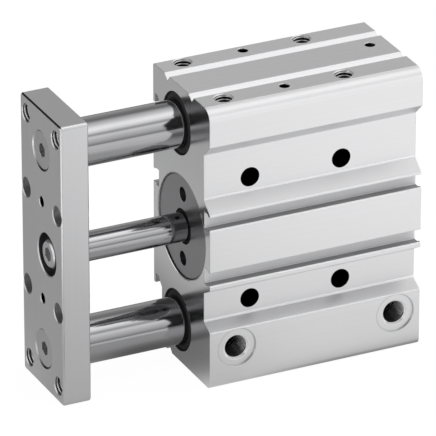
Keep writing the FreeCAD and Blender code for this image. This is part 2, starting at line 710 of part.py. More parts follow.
def plate_corner_holes():
    """Four tapped holes through the corners of the plate, countersunk on both faces."""
    holes = []
    radius = PLATE_CORNER_HOLE_D / 2
    wide_r = radius + PLATE_CORNER_HOLE_CHAMFER
    edge = PLATE_WIDTH / 2 - PLATE_CORNER_FROM_EDGE
    end = PLATE_HEIGHT / 2 - PLATE_CORNER_FROM_END
    for y in (-edge, edge):
        for z in (-end, end):
            axis = (PLATE_Y + y, z)
            holes.append(turned([
                (PLATE_FRONT, 0),
                (PLATE_FRONT, wide_r),
                (PLATE_FRONT + PLATE_CORNER_HOLE_CHAMFER, radius),
                (PLATE_REAR - PLATE_CORNER_HOLE_CHAMFER, radius),
                (PLATE_REAR, wide_r),
                (PLATE_REAR, 0),
            ], axis))
    return holes


def plate_side_holes():
    """Four plain holes through the plate, close to its long edges."""
    holes = []
    inward = FreeCAD.Vector(1, 0, 0)
    edge = PLATE_WIDTH / 2 - PLATE_SIDE_FROM_EDGE
    for y in (-edge, edge):
        for z in (-PLATE_SIDE_SPACING_Z / 2, PLATE_SIDE_SPACING_Z / 2):
            mouth = FreeCAD.Vector(PLATE_FRONT, PLATE_Y + y, z)
            holes.append(drilling(mouth, inward, PLATE_SIDE_HOLE_D, PLATE_THICKNESS, PLATE_SIDE_HOLE_CHAMFER))
    return holes


def tooling_plate():
    """Rectangular plate across the ends of the three rods."""
    corner = FreeCAD.Vector(PLATE_FRONT, PLATE_Y - PLATE_WIDTH / 2, -PLATE_HEIGHT / 2)
    block = Part.makeBox(PLATE_THICKNESS, PLATE_WIDTH, PLATE_HEIGHT, corner)
    corners = [edge for y in (-1, 1) for z in (-1, 1) for edge in long_edges(block, y, z)]
    block = block.makeFillet(PLATE_CORNER_R, corners)
    face_edges = [edge for edge in block.Edges if abs(edge.tangentAt(edge.FirstParameter).x) < 0.5]
    blank = block.makeChamfer(PLATE_EDGE_CHAMFER, face_edges)
    washer_rear = rod_screw_places()[2]
    inward = FreeCAD.Vector(1, 0, 0)
    centre = FreeCAD.Vector(PLATE_FRONT, *PISTON_AXIS)
    cuts = [
        drilling(centre, inward, ROD_COUNTERBORE_D, washer_rear - PLATE_FRONT, ROD_COUNTERBORE_CHAMFER),
        disc(PLATE_FRONT, PLATE_REAR, ROD_SCREW_D / 2 + SCREW_CLEARANCE, PISTON_AXIS),
    ]
    cuts += [guide_screw_hole(axis) for axis in GUIDE_AXES.values()]
    cuts += plate_corner_holes() + plate_side_holes()
    for z in (-PLATE_SIDE_SPACING_Z / 2, PLATE_SIDE_SPACING_Z / 2):
        mouth = FreeCAD.Vector(PLATE_FRONT, PLATE_Y, z)
        cuts.append(drilling(mouth, inward, PLATE_DOWEL_D, PLATE_DOWEL_DEPTH, PLATE_DOWEL_CHAMFER))
    return blank.cut(cuts)


def piston_rod():
    """Chromed rod from the plate to the piston, with a thinner spigot through the piston."""
    spigot_r = ROD_SPIGOT_D / 2
    bar = turned([
        (PLATE_REAR, 0),
        (PLATE_REAR, PISTON_ROD_R),
        (ROD_SHOULDER, PISTON_ROD_R),
        (ROD_SHOULDER, spigot_r),
        (ROD_SPIGOT_END - SCREW_TIP_CHAMFER, spigot_r),
        (ROD_SPIGOT_END, spigot_r - SCREW_TIP_CHAMFER),
        (ROD_SPIGOT_END, 0),
    ], PISTON_AXIS)
    thread_end = PLATE_REAR + ROD_SCREW_GRIP + TAPPED_HOLE_RUN_OUT
    return bar.cut(disc(PLATE_REAR, thread_end, ROD_SCREW_D / 2 + THREAD_CLEARANCE, PISTON_AXIS))


def piston_ring_places():
    """Front end of each ring groove in the piston: seal, magnet, wear ring."""
    seal = PISTON_FRONT + PISTON_LAND
    magnet = seal + PISTON_SEAL_LENGTH + PISTON_RING_GAP
    wear_ring = magnet + MAGNET_LENGTH + PISTON_RING_GAP
    return seal, magnet, wear_ring


def piston():
    """Aluminium piston with three ring grooves and a pocket for its nut."""
    outer_r = BORE_R - FREE_CLEARANCE
    rod_seat_r = PISTON_ROD_R + SEAT_CLEARANCE
    spigot_hole_r = ROD_SPIGOT_D / 2 + SEAT_CLEARANCE
    pocket_r = NUT_WIDTH / math.sqrt(3) + NUT_POCKET_CLEARANCE
    blank = turned([
        (PISTON_FRONT, rod_seat_r),
        (PISTON_FRONT, outer_r - PISTON_CHAMFER),
        (PISTON_FRONT + PISTON_CHAMFER, outer_r),
        (PISTON_REAR - PISTON_CHAMFER, outer_r),
        (PISTON_REAR, outer_r - PISTON_CHAMFER),
        (PISTON_REAR, pocket_r),
        (NUT_SEAT, pocket_r),
        (NUT_SEAT, spigot_hole_r),
        (ROD_SHOULDER, spigot_hole_r),
        (ROD_SHOULDER, rod_seat_r),
    ], PISTON_AXIS)
    seal, magnet, wear_ring = piston_ring_places()
    grooves = [
        tube(seal, seal + PISTON_SEAL_LENGTH, SEALED_R - PISTON_SEAL_HEIGHT, BORE_R, PISTON_AXIS),
        tube(magnet, magnet + MAGNET_LENGTH, outer_r - MAGNET_HEIGHT, BORE_R, PISTON_AXIS),
        tube(wear_ring, wear_ring + WEAR_RING_LENGTH, SEALED_R - WEAR_RING_HEIGHT, BORE_R, PISTON_AXIS),
    ]
    return blank.cut(grooves)


def piston_seal():
    """Double-acting seal with a lip towards each end of the bore."""
    start = piston_ring_places()[0] + SEAT_CLEARANCE
    end = start + PISTON_SEAL_LENGTH - 2 * SEAT_CLEARANCE
    bottom_r = SEALED_R - PISTON_SEAL_HEIGHT + SEAT_CLEARANCE
    waist_r = SEALED_R - PISTON_SEAL_HEIGHT / 3
    return turned([
        (start, bottom_r),
        (start, SEALED_R),
        ((start + end) / 2, waist_r),
        (end, SEALED_R),
        (end, bottom_r),
    ], PISTON_AXIS)


def piston_magnet():
    """Ring magnet that the position sensors in the body slots detect."""
    start = piston_ring_places()[1] + SEAT_CLEARANCE
    end = start + MAGNET_LENGTH - 2 * SEAT_CLEARANCE
    outer_r = BORE_R - FREE_CLEARANCE
    return tube(start, end, outer_r - MAGNET_HEIGHT + SEAT_CLEARANCE, outer_r, PISTON_AXIS)


def piston_wear_ring():
    """Split guide ring that keeps the piston off the bore."""
    start = piston_ring_places()[2] + SEAT_CLEARANCE
    end = start + WEAR_RING_LENGTH - 2 * SEAT_CLEARANCE
    bottom_r = SEALED_R - WEAR_RING_HEIGHT + SEAT_CLEARANCE
    slit = Part.makeBox(end - start, WEAR_RING_SLIT, BORE_R, FreeCAD.Vector(start, -WEAR_RING_SLIT / 2, 0))
    return tube(start, end, bottom_r, SEALED_R, PISTON_AXIS).cut(slit)


def piston_nut():
    """Nut that clamps the piston against the shoulder of the rod."""
    end = NUT_SEAT + NUT_THICKNESS
    thread_r = ROD_SPIGOT_D / 2 + THREAD_CLEARANCE
    return hexagon(NUT_SEAT, end, NUT_WIDTH, PISTON_AXIS).cut(disc(NUT_SEAT, end, thread_r, PISTON_AXIS))


def all_pieces():
    """Every piece of the cylinder by name."""
    pieces = {
        "body_extrusion": body_extrusion(),
        "rod_gland": rod_gland(),
        "gland_o_ring": gland_o_ring(),
        "rod_wiper": rod_wiper(),
        "rod_seal": rod_seal(),
        "rod_bush": rod_bush(),
        "front_bumper": bumper(GLAND_NOSE_END, GLAND_NOSE_D),
        "rear_bumper": bumper(REAR_BUMPER_FRONT, REAR_HUB_D),
        "rear_cap": rear_cap(),
        "rear_cap_o_ring": rear_cap_o_ring(),
        "rear_circlip": rear_circlip(),
        "tooling_plate": tooling_plate(),
        "piston_rod": piston_rod(),
        "piston_rod_screw": piston_rod_screw(),
        "piston_rod_washer": piston_rod_washer(),
        "piston": piston(),
        "piston_seal": piston_seal(),
        "piston_magnet": piston_magnet(),
        "piston_wear_ring": piston_wear_ring(),
        "piston_nut": piston_nut(),
    }
    for place, axis in GUIDE_AXES.items():
        pieces[f"guide_rod_{place}"] = guide_rod(axis)
        pieces[f"guide_rod_screw_{place}"] = guide_rod_screw(axis)
        pieces[f"guide_wiper_{place}"] = guide_wiper(axis)
        for end, bush in guide_bushes(axis).items():
            pieces[f"guide_bush_{place}_{end}"] = bush
    return pieces


os.makedirs("parts", exist_ok=True)
for name, piece in all_pieces().items():
    piece.exportStep(f"parts/{name}.step")
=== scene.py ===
"""Looks of a guided pneumatic cylinder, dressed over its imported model.

The model's own frame: the rods come out towards -X, the ports are in the -Y face, and +Z runs
from the lower guide rod to the upper one. Finishes measure the part in mm, and the rest is in metres.
"""
import json
import math

import bpy
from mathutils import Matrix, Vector


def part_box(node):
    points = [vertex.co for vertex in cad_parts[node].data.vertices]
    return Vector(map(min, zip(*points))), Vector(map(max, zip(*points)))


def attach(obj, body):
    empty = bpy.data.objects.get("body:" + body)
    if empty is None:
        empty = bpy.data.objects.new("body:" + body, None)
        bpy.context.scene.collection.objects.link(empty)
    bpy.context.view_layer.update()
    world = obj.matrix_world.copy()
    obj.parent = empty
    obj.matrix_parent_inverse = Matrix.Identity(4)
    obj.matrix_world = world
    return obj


MM = 0.001

# Camera, fitted to the photograph
CAMERA_AZIMUTH = math.radians(-25.6)
CAMERA_ELEVATION = math.radians(25.78)
CAMERA_DISTANCE = 2.2
CAMERA_TARGET = Vector((-22.24, 0.0, 0.39)) * MM
CAMERA_LENS = 495.47
CAMERA_SENSOR = 36.0
CAMERA_REACH = 60.0

# Threads and ribs, in mm. A ridge's size is a share of its pitch.
TOP_PITCH = 1.25
SCREW_PITCH = 1.0
PORT_PITCH = 0.907
RIDGE_SHARE = 0.3
THREAD_SINK = 0.06
RIB_RADIUS = 0.16
RIB_LENGTH = 4.6
RIB_START = 0.9
HEAD_RIBS = 40

# Sides and steps of the threads and ribs
THREAD_STEPS = 28
RIDGE_SIDES = 4
RIB_SIDES = 6

# Axes of the rods, as y and |z| in mm
PISTON_AXIS = (0.0, 0.0)
GUIDE_AXIS = (4.0, 40.0)

# What is shaded in a hole, in mm: depth below its mouth, reach past its wall, and crests inside the wall
HOLE_DEPTH = (0.1, 18.0)
DOWEL_DEPTH = (0.5, 18.0)
BOLT_DEPTH = (-23.7, 23.7)
HOLE_REACH = 0.04
BOLT_REACH = 0.25
CREST_START = 0.6
CREST_END = 0.08

# Zones round the ports, in mm from a port's axis, and their depths under the port face. PORT_LIT is where
# painted light on the thread crests grows to the right of the axis, and SEAT_RING gets painted shade.
PORTS = ["front_port", "rear_port"]
PORT_LIT = (0.5, 4.2)
PORT_LIP = (4.3, 5.2)
PORT_LIP_DEPTH = (0.4, 1.4)
SEAT_RING = (7.3, 7.8)
SEAT_RING_DEPTH = 0.8

# Sensor slots, in mm: reach to each side of the slot's middle, and depths under the side
SLOT_LEDGE = 3.4
SLOT_LEDGE_DEPTH = (0.4, 5.0)
SLOT_FLOOR = 4.0
SLOT_FLOOR_DEPTH = (4.3, 5.3)

# Recess of the port side, in mm: its depth under the port face, and the heights of its ramps
RECESS_DEPTH = 5.3
LOWER_RAMP_END = -29.5
SLOT_RAMP = (13.7, 19.0)
# Slopes near the top, in mm under it, and how far the fillet lies under the port face
GROOVE_DEPTH = 6.0
FILLET_DEPTH = 6.5
FILLET_INSET = 5.5
# Heights on the port side where a corner catches the light, in mm, and the step that makes it do so
EDGE_LINES = [(8.1, 8.6), (-14.3, -13.8), (13.7, 15.0), (19.0, 19.6), (-33.4, -33.0), (-30.2, -29.6)]
EDGE_RELIEF = 0.5

# Front of the bore and the blind hole in the top, in mm
GLAND_SEAT_RADIUS = 20.3
GLAND_SEAT_DEPTH = (0.04, 0.7)
LATHE_EDGE = (20.6, 20.0)
LATHE_EDGE_DEPTH = 0.5
LATHE_RELIEF = 0.3
BLIND_HOLE = (41.5, 4.0)
BLIND_RADIUS = 2.3
BLIND_DEPTH = 0.2

# Fly cutter on the body's ends, as y and z of its middle and its feed, in mm
CUTTER = (160.0, -50.0)
CUTTER_FEED = 0.22

# Plate, in mm: radii round the screws, and depths under the front face and under the top
POCKET_RADIUS = 8.14
POCKET_DEPTH = 0.4
HEAD_CONE_RADIUS = 7.85
HEAD_CONE_DEPTH = 0.02
TOP_EDGE_DEPTH = 0.6
TOP_EDGE_HEIGHT = 0.5

# How much turning marks change along the axis, next to their change out from it
TURNING_SLANT = 0.37
# Rubber, in mm: spacing of the moulding rings, radii of a wiper's worn face, and how softly that ends
MOULDING_RINGS = 0.7
WORN_WIPER = (9.9, 11.4)
WEAR_FADE = 0.3

# Tones: blacks for painted shade, whites for painted highlights on metal edges, and the grey of worn rubber
SHADE_BLACK = (0.0, 0.0, 0.0)
HOLE_SHADE_BLACK = (0.012, 0.012, 0.012)
WORN_GREY = (0.040, 0.040, 0.040)
EDGE_HIGHLIGHT_WHITE = (0.97, 0.97, 0.97)
TURNED_EDGE_HIGHLIGHT_WHITE = (0.95, 0.95, 0.95)


class Value:
    """A number or vector that varies over a surface, with the usual arithmetic on numbers."""

    def __init__(self, finish, socket):
        self.finish = finish
        self.socket = socket

    def math(self, operation, *others):
        return self.finish.node("ShaderNodeMath", {"operation": operation}, [self, *others])

    def __add__(self, other):
        return self.math("ADD", other)

    def __sub__(self, other):
        return self.math("SUBTRACT", other)

    def __rsub__(self, other):
        return self.finish.node("ShaderNodeMath", {"operation": "SUBTRACT"}, [other, self])

    def __mul__(self, other):
        return self.math("MULTIPLY", other)

    def __truediv__(self, other):
        return self.math("DIVIDE", other)

    def __gt__(self, other):
        return self.math("GREATER_THAN", other)

    def __lt__(self, other):
        return self.math("LESS_THAN", other)

    def __abs__(self):
        return self.math("ABSOLUTE")

    __radd__ = __add__
    __rmul__ = __mul__


class Finish:
    """A material's nodes, and the calls that add to them."""

    def __init__(self, tree):
        self.tree = tree
        tree.nodes.clear()

    def node(self, kind, settings=None, inputs=(), output=0):
        made = self.tree.nodes.new(kind)
        for name, setting in (settings or {}).items():
            if name == "stops":
                self.set_stops(made.color_ramp, setting)
            else:
                setattr(made, name, setting)
        pairs = inputs.items() if isinstance(inputs, dict) else enumerate(inputs)
        for key, value in pairs:
            if isinstance(value, Value):
                self.tree.links.new(value.socket, made.inputs[key])
            else:
                made.inputs[key].default_value = value
        return Value(self, made.outputs[output]) if made.outputs else None

    @staticmethod
    def set_stops(ramp, stops):
        while len(ramp.elements) < len(stops):
            ramp.elements.new(1.0)
        for element, (place, level) in zip(ramp.elements, stops):
            element.position = place
            element.color = (level, level, level, 1.0)

    def parts(self, vector):
        first = self.node("ShaderNodeSeparateXYZ", inputs=[vector])
        return [Value(self, socket) for socket in first.socket.node.outputs]

    def place(self):
        return self.node("ShaderNodeTexCoord", output="Object")

    def spot(self):
        """Where on the part a surface point is, as x, y and z in mm."""
        return [part / MM for part in self.parts(self.place())]

    def facing(self):
        """Direction that a surface faces, as x, y and z."""
        return self.parts(self.node("ShaderNodeNewGeometry", output="Normal"))

    def facing_up(self):
        """How much a surface faces up: 0 level or less, 1 fully."""
        return self.ease(self.facing()[2], 0.1, 0.8)

    def noise(self, stretch, detail=2.0):
        """Noise on the object's own coordinates, with this many features a metre along each axis."""
        scaled = self.node("ShaderNodeMapping", inputs={"Vector": self.place(), "Scale": stretch})
        return self.node("ShaderNodeTexNoise", inputs={
            "Vector": scaled, "Scale": 1.0, "Detail": detail, "Roughness": 0.5})

    def rings(self, radius, spacing):
        """Uneven turning marks: noise that changes with the distance from an axis alone."""
        return self.node("ShaderNodeTexNoise", {"noise_dimensions": "1D"}, {
            "W": radius / spacing, "Scale": 1.0, "Detail": 1.0})

    def radius(self, first, second):
        """Distance from an axis, from two coordinates already taken from it."""
        return (first * first + second * second).math("SQRT")

    def from_rods(self, axis):
        """Distance from the axis of a rod, which is given as y and |z|."""
        _, y, z = self.spot()
        return self.radius(y - axis[0], abs(z) - axis[1])

    def within(self, value, zone):
        """1 where a value lies in a zone, which is a start and an end."""
        start, end = zone
        return (value > start) * (value < end)

    def ease(self, value, start, end, low=0.0, high=1.0):
        """Smooth change from one level to another while a value goes from start to end."""
        return self.node("ShaderNodeMapRange", {"interpolation_type": "SMOOTHSTEP"}, {
            "Value": value, "From Min": start, "From Max": end, "To Min": low, "To Max": high})

    def mix(self, factor, low, high):
        """Number between two others."""
        return self.node("ShaderNodeMix", {"data_type": "FLOAT"}, {0: factor, 2: low, 3: high})

    def colour(self, factor, first, second):
        """Colour between two others."""
        first, second = (end if isinstance(end, Value) else (*end, 1.0) for end in (first, second))
        return self.node("ShaderNodeMix", {"data_type": "RGBA"}, {0: factor, 6: first, 7: second}, output=2)

    def rounded(self, radius):
        """Normal with the edges rounded by a radius in mm, and how far it leans from the true one."""
        normal = self.node("ShaderNodeBevel", {"samples": 8}, {"Radius": radius * MM})
        true = self.node("ShaderNodeNewGeometry", output="True Normal")
        along = self.node("ShaderNodeVectorMath", {"operation": "DOT_PRODUCT"}, [normal, true], output=1)
        return normal, self.ease(along, 0.995, 0.90)

    def bump(self, height, normal=None):
        """Normal with a relief whose height is in mm."""
        inputs = {"Height": height * MM, "Distance": 1.0, "Strength": 1.0}
        if normal:
            inputs["Normal"] = normal
        return self.node("ShaderNodeBump", inputs=inputs)

    def holes(self, mount, depths=HOLE_DEPTH, reach=HOLE_REACH):
        """Where a surface is inside the holes of a mount, and where it is on the crests of their threads."""
        spacings = [mount["dims"].get(f"spacing_{side}_mm", 0.0) for side in "xy"]
        wall = hole_radius(mount)
        across = []
        for coordinate, centre, along in zip(self.spot(), mount["pos_m"], mount["axis"]):
            offset = coordinate - centre / MM
            if along:
                below = self.within(offset * -along, depths)
            else:
                spacing = spacings.pop(0) / 2
                across.append(abs(offset) - spacing if spacing else offset)
        radius = self.radius(*across)
        crest = self.within(radius, (wall - CREST_START, wall - CREST_END))
        return (radius < wall + reach) * below, crest


def hole_radius(mount):
    """Radius of a mount's holes, in mm."""
    return mount["dims"].get("hole_r_mm") or mount["dims"]["r_mm"]


def material(name, build, **options):
    """Material whose principled shader takes the sockets that a build function returns."""
    made = bpy.data.materials.new(name)
    made.use_nodes = True
    finish = Finish(made.node_tree)
    shader = finish.node("ShaderNodeBsdfPrincipled", inputs=build(finish, **options))
    finish.node("ShaderNodeOutputMaterial", inputs={"Surface": shader})
    return made


def hole_shade(finish, mounts, names, lit=0.85):
    """Painted shade of a surface for lying inside a hole: 0 outside, and less on the lit crests of a thread.
    """
    shade = 0.0
    for name in names:
        inside, crest = finish.holes(mounts[name])
        shade = inside * (1.0 - crest * lit) + shade
    return shade.math("MINIMUM", 1.0)


def from_ports(finish, mounts):
    """Distance from the nearer port's axis, and how far right of it a point lies, in mm."""
    front, rear = (mounts[name]["pos_m"] for name in PORTS)
    middle = (front[0] + rear[0]) / 2 / MM
    half = (rear[0] - front[0]) / 2 / MM
    x, _, z = finish.spot()
    along = x - middle
    distance = finish.radius(abs(along) - half, z - front[2] / MM)
    return distance, along + (along < 0.0) * (2 * half) - half


def body_depths(finish):
    """How far a point lies under the body's front face, port face, nearer side and top, in mm."""
    x, y, z = finish.spot()
    low, high = (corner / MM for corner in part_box("body_extrusion"))
    return x - low.x, y - low.y, high.y - abs(y), high.z - z


def from_sensor_slots(finish, mounts):
    """Distance from the middle of the nearest sensor slot, up or down, in mm."""
    slot = mounts["port_side_sensor_slots"]["pos_m"][2] / MM
    return abs(abs(finish.spot()[2]) - slot)


def body_shade(finish, mounts):
    """Painted shade of the body in its holes, ports, slots and the gland's seat: 1 where it is black."""
    x, y, z = finish.spot()
    under_front, under_port_face, under_side, under_top = body_depths(finish)
    from_port, right_of_port = from_ports(finish, mounts)
    # Painted light: the ports' thread crests are kept lighter towards the right of each port's axis.
    painted_port_light = finish.ease(right_of_port, *PORT_LIT) * 0.9 + 0.05
    bolt_holes = finish.holes(mounts["body_bolts"], BOLT_DEPTH, BOLT_REACH)[0]
    dowel_holes = finish.holes(mounts["top_dowels"], DOWEL_DEPTH)[0]
    tapped = hole_shade(finish, mounts, ["top_bolts", "rear_bolts"])
    ports = hole_shade(finish, mounts, PORTS, painted_port_light)
    # Painted shade on the rings round the port seats, in the blind hole, on the slot ledges and in the
    # gland's seat.
    seat_ring_shade = finish.within(from_port, SEAT_RING) * (under_port_face < SEAT_RING_DEPTH)
    from_blind_hole = finish.radius(x - BLIND_HOLE[0], y - BLIND_HOLE[1])
    blind_hole = (from_blind_hole < BLIND_RADIUS) * (under_top > BLIND_DEPTH)
    ledge_shade = (from_sensor_slots(finish, mounts) < SLOT_LEDGE) * (abs(finish.facing()[2]) > 0.8)
    ledge_shade = ledge_shade * finish.within(under_side, SLOT_LEDGE_DEPTH)
    gland_seat_shade = (finish.radius(y, z) < GLAND_SEAT_RADIUS) * finish.within(under_front, GLAND_SEAT_DEPTH)
    gland_seat_shade = gland_seat_shade * finish.facing_up()
    shade = bolt_holes + dowel_holes + tapped + ports + blind_hole * 0.9
    shade = shade + ledge_shade * 0.55 + gland_seat_shade * 0.9 + seat_ring_shade * 0.25
    return shade.math("MINIMUM", 1.0)


def painted_ramp_shade(finish):
    """Painted shade: how much darker the metal is made on the port side's ramps and on the slopes of the
    top's grooves.
    """
    z = finish.spot()[2]
    _, turned_y, turned_z = finish.facing()
    _, under_port_face, _, under_top = body_depths(finish)
    recessed = under_port_face < RECESS_DEPTH
    lower_ramp = recessed * (z < LOWER_RAMP_END) * (turned_z > 0.5)
    slot_ramp = recessed * finish.within(z, SLOT_RAMP) * (turned_z > 0.3)
    groove_slope = (turned_y < -0.15) * finish.ease(turned_z, 0.35, 0.60) * (under_top < GROOVE_DEPTH)
    return lower_ramp * 0.33 + slot_ramp * 0.38 + groove_slope * 0.23


def body_dull_spots(finish, mounts):
    """Where the body shines less: the sensor slots' floors, the upper fillet and the ports' chamfers."""
    _, turned_y, turned_z = finish.facing()
    _, under_port_face, under_side, under_top = body_depths(finish)
    slot_floor = (from_sensor_slots(finish, mounts) < SLOT_FLOOR) * (abs(turned_y) > 0.8)
    slot_floor = slot_floor * finish.within(under_side, SLOT_FLOOR_DEPTH)
    fillet = (under_top < FILLET_DEPTH) * (under_port_face < FILLET_INSET)
    fillet = fillet * (turned_y < -0.1) * finish.ease(turned_z, 0.02, 0.10)
    from_port = from_ports(finish, mounts)[0]
    port_lip = finish.within(from_port, PORT_LIP) * finish.within(under_port_face, PORT_LIP_DEPTH)
    return slot_floor, fillet, port_lip


def body_relief(finish, side):
    """Rounded-over corners, in mm: the bore's mouth, and on the sides the ones that catch the light."""
    _, y, z = finish.spot()
    under_front = body_depths(finish)[0]
    bore_mouth = finish.ease(finish.radius(y, z), *LATHE_EDGE) * (under_front < LATHE_EDGE_DEPTH)
    corners = 0.0
    for start, end in EDGE_LINES:
        corners = finish.ease(z, start, end) + corners
    return bore_mouth * -LATHE_RELIEF - corners * side * EDGE_RELIEF


def anodised_body(finish, mounts):
    """Satin extrusion: faint die lines along the sides, fly-cut ends, painted shade in slots and holes and on
    the ramps, and painted highlights on rounded edges.
    """
    _, y, z = finish.spot()
    end = abs(finish.facing()[0]) > 0.9
    side = 1 - end
    die_lines = finish.noise((4.0, 1100.0, 1100.0))
    grain = finish.noise((5200.0, 5200.0, 5200.0))
    clouds = finish.noise((14.0, 30.0, 30.0))
    cutter = finish.rings(finish.radius(y - CUTTER[0], z - CUTTER[1]), CUTTER_FEED)
    tone = (die_lines * 0.6 + clouds * 0.4) * side + cutter * end
    # Painted shade in the holes, ports, slots and the gland's seat, blended to near black below.
    dark = body_shade(finish, mounts)
    slot_floor, fillet, port_lip = body_dull_spots(finish, mounts)
    normal, edge = finish.rounded(0.4)
    metal = finish.colour(tone, (0.84, 0.84, 0.85), (0.93, 0.93, 0.94))
    # Painted shade on the ramps and the slopes of the top's grooves.
    metal = finish.colour(painted_ramp_shade(finish), metal, SHADE_BLACK)
    # Painted highlight on rounded edges, kept out of the painted shade.
    metal = finish.colour(edge * (1 - dark), metal, EDGE_HIGHLIGHT_WHITE)
    texture = finish.mix(end, grain * 0.7 + die_lines * 0.3, cutter * 0.3)
    return {
        "Base Color": finish.colour(dark, metal, HOLE_SHADE_BLACK),
        "Metallic": 1.0 - slot_floor * 0.85 - fillet * 0.6 - port_lip * 0.9,
        "Roughness": finish.mix(end, 0.36 + 0.12 * die_lines, 0.18 + 0.06 * cutter) + slot_floor * 0.2,
        "Normal": finish.bump(texture * 0.006 + body_relief(finish, side), normal),
    }


def plate_shade(finish, mounts, side_holes):
    """Painted shade of the plate in its holes, pockets and the floors of its hollows, and along the top of
    its front face: 1 where it is black.
    """
    x, y, z = finish.spot()
    low, high = (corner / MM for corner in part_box("tooling_plate"))
    under_front = x - low.x
    corner_holes = hole_shade(finish, mounts, ["plate_corner_bolts"])
    dowel_holes = hole_shade(finish, mounts, ["plate_dowels"])
    pocket_shade = (finish.radius(y, z) < POCKET_RADIUS) * (under_front > POCKET_DEPTH)
    beside_head = (finish.from_rods(GUIDE_AXIS) < HEAD_CONE_RADIUS) * (under_front > HEAD_CONE_DEPTH)
    floors = finish.facing_up() * (side_holes * 0.25 + beside_head * 0.9)
    # Painted shade along the top of the front face.
    top_edge_shade = (high.z - z < TOP_EDGE_HEIGHT) * (under_front < TOP_EDGE_DEPTH)
    shade = corner_holes * 0.75 + dowel_holes + side_holes * 0.3 + floors + pocket_shade * 0.6 + top_edge_shade * 0.9
    return shade.math("MINIMUM", 1.0)


def milled_plate(finish, mounts):
    """Plate milled all over, with faint straight cutter lines, painted shade in its holes and on faces that
    look up, and painted highlights on edges and in the side holes.
    """
    lines = finish.noise((700.0, 700.0, 12.0))
    grain = finish.noise((4200.0, 4200.0, 4200.0))
    clouds = finish.noise((30.0, 30.0, 20.0))
    side_holes = finish.holes(mounts["plate_side_bolts"])[0]
    # Painted shade in the holes, pockets and hollows, and along the top of the front face.
    dark = plate_shade(finish, mounts, side_holes)
    normal, edge = finish.rounded(0.3)
    # Painted highlight on rounded edges and in the side holes, kept out of the painted shade.
    bright = (edge + side_holes).math("MINIMUM", 1.0) * (1 - dark)
    metal = finish.colour(lines * 0.5 + clouds * 0.5, (0.70, 0.70, 0.71), (0.79, 0.79, 0.80))
    # Painted shade on faces that look up.
    metal = finish.colour(finish.facing_up() * 0.15, metal, SHADE_BLACK)
    metal = finish.colour(bright, metal, EDGE_HIGHLIGHT_WHITE)
    return {
        "Base Color": finish.colour(dark, metal, HOLE_SHADE_BLACK),
        "Metallic": 1.0,
        "Roughness": finish.mix(side_holes, 0.32 + 0.12 * lines, 0.85),
        "Normal": finish.bump((grain * 0.5 + lines * 0.5) * 0.006, normal),
    }


def chromed_rod(finish):
    """Ground and hard-chromed: a near mirror with very fine marks round the rod."""
    marks = finish.noise((7000.0, 25.0, 25.0))
    clouds = finish.noise((40.0, 60.0, 60.0))
    return {
        "Base Color": finish.colour(clouds, (0.39, 0.39, 0.40), (0.46, 0.46, 0.47)),
        "Metallic": 1.0,
        "Roughness": 0.07 + 0.06 * marks,
        "Normal": finish.bump(marks * 0.0004),
    }


def turned_metal(finish, dark, light, axis, spacing=0.3, shine=0.28):
    """Metal turned on an axis along X, whose marks are rings round it, with painted highlights on its rounded
    edges.
    """
    marks = finish.rings(finish.from_rods(axis) + finish.spot()[0] * TURNING_SLANT, spacing)
    clouds = finish.noise((120.0, 120.0, 120.0))
    normal, edge = finish.rounded(0.2)
    metal = finish.colour(marks * 0.6 + clouds * 0.4, dark, light)
    return {
        # Painted highlight on rounded edges.
        "Base Color": finish.colour(edge * 0.6, metal, TURNED_EDGE_HIGHLIGHT_WHITE),
        "Metallic": 1.0,
        "Roughness": shine + 0.14 * marks,
        "Normal": finish.bump(marks * 0.008, normal),
    }


def rubber(finish, dark, light, axis, worn=None):
    """Moulded rubber with a slight bloom and faint moulding rings, greyer between two worn radii."""
    radius = finish.from_rods(axis)
    rings = finish.rings(radius, MOULDING_RINGS)
    bloom = finish.noise((900.0, 900.0, 900.0), detail=4.0)
    colour = finish.colour(bloom * 0.7 + rings * 0.3, dark, light)
    if worn:
        inner, outer = worn
        grey = finish.ease(radius, inner - WEAR_FADE, inner) * finish.ease(radius, outer, outer - WEAR_FADE)
        colour = finish.colour(grey, colour, WORN_GREY)
    return {
        "Base Color": colour,
        "Roughness": 0.42 + 0.2 * bloom,
        "Specular IOR Level": 0.1,
        "Normal": finish.bump((bloom * 0.5 + rings * 0.5) * 0.01, finish.rounded(0.2)[0]),
    }


def porous(finish, dark, light, metallic, grain):
    """Pressed or sintered stuff: a fine speckle of pores."""
    speckle = finish.node("ShaderNodeTexVoronoi", inputs={"Vector": finish.place(), "Scale": grain})
    clouds = finish.noise((200.0, 200.0, 200.0), detail=3.0)
    return {
        "Base Color": finish.colour(clouds * 0.5 + speckle * 0.5, dark, light),
        "Metallic": metallic,
        "Roughness": 0.45 + 0.2 * clouds,
        "Normal": finish.bump(speckle * 0.01, finish.rounded(0.2)[0]),
    }


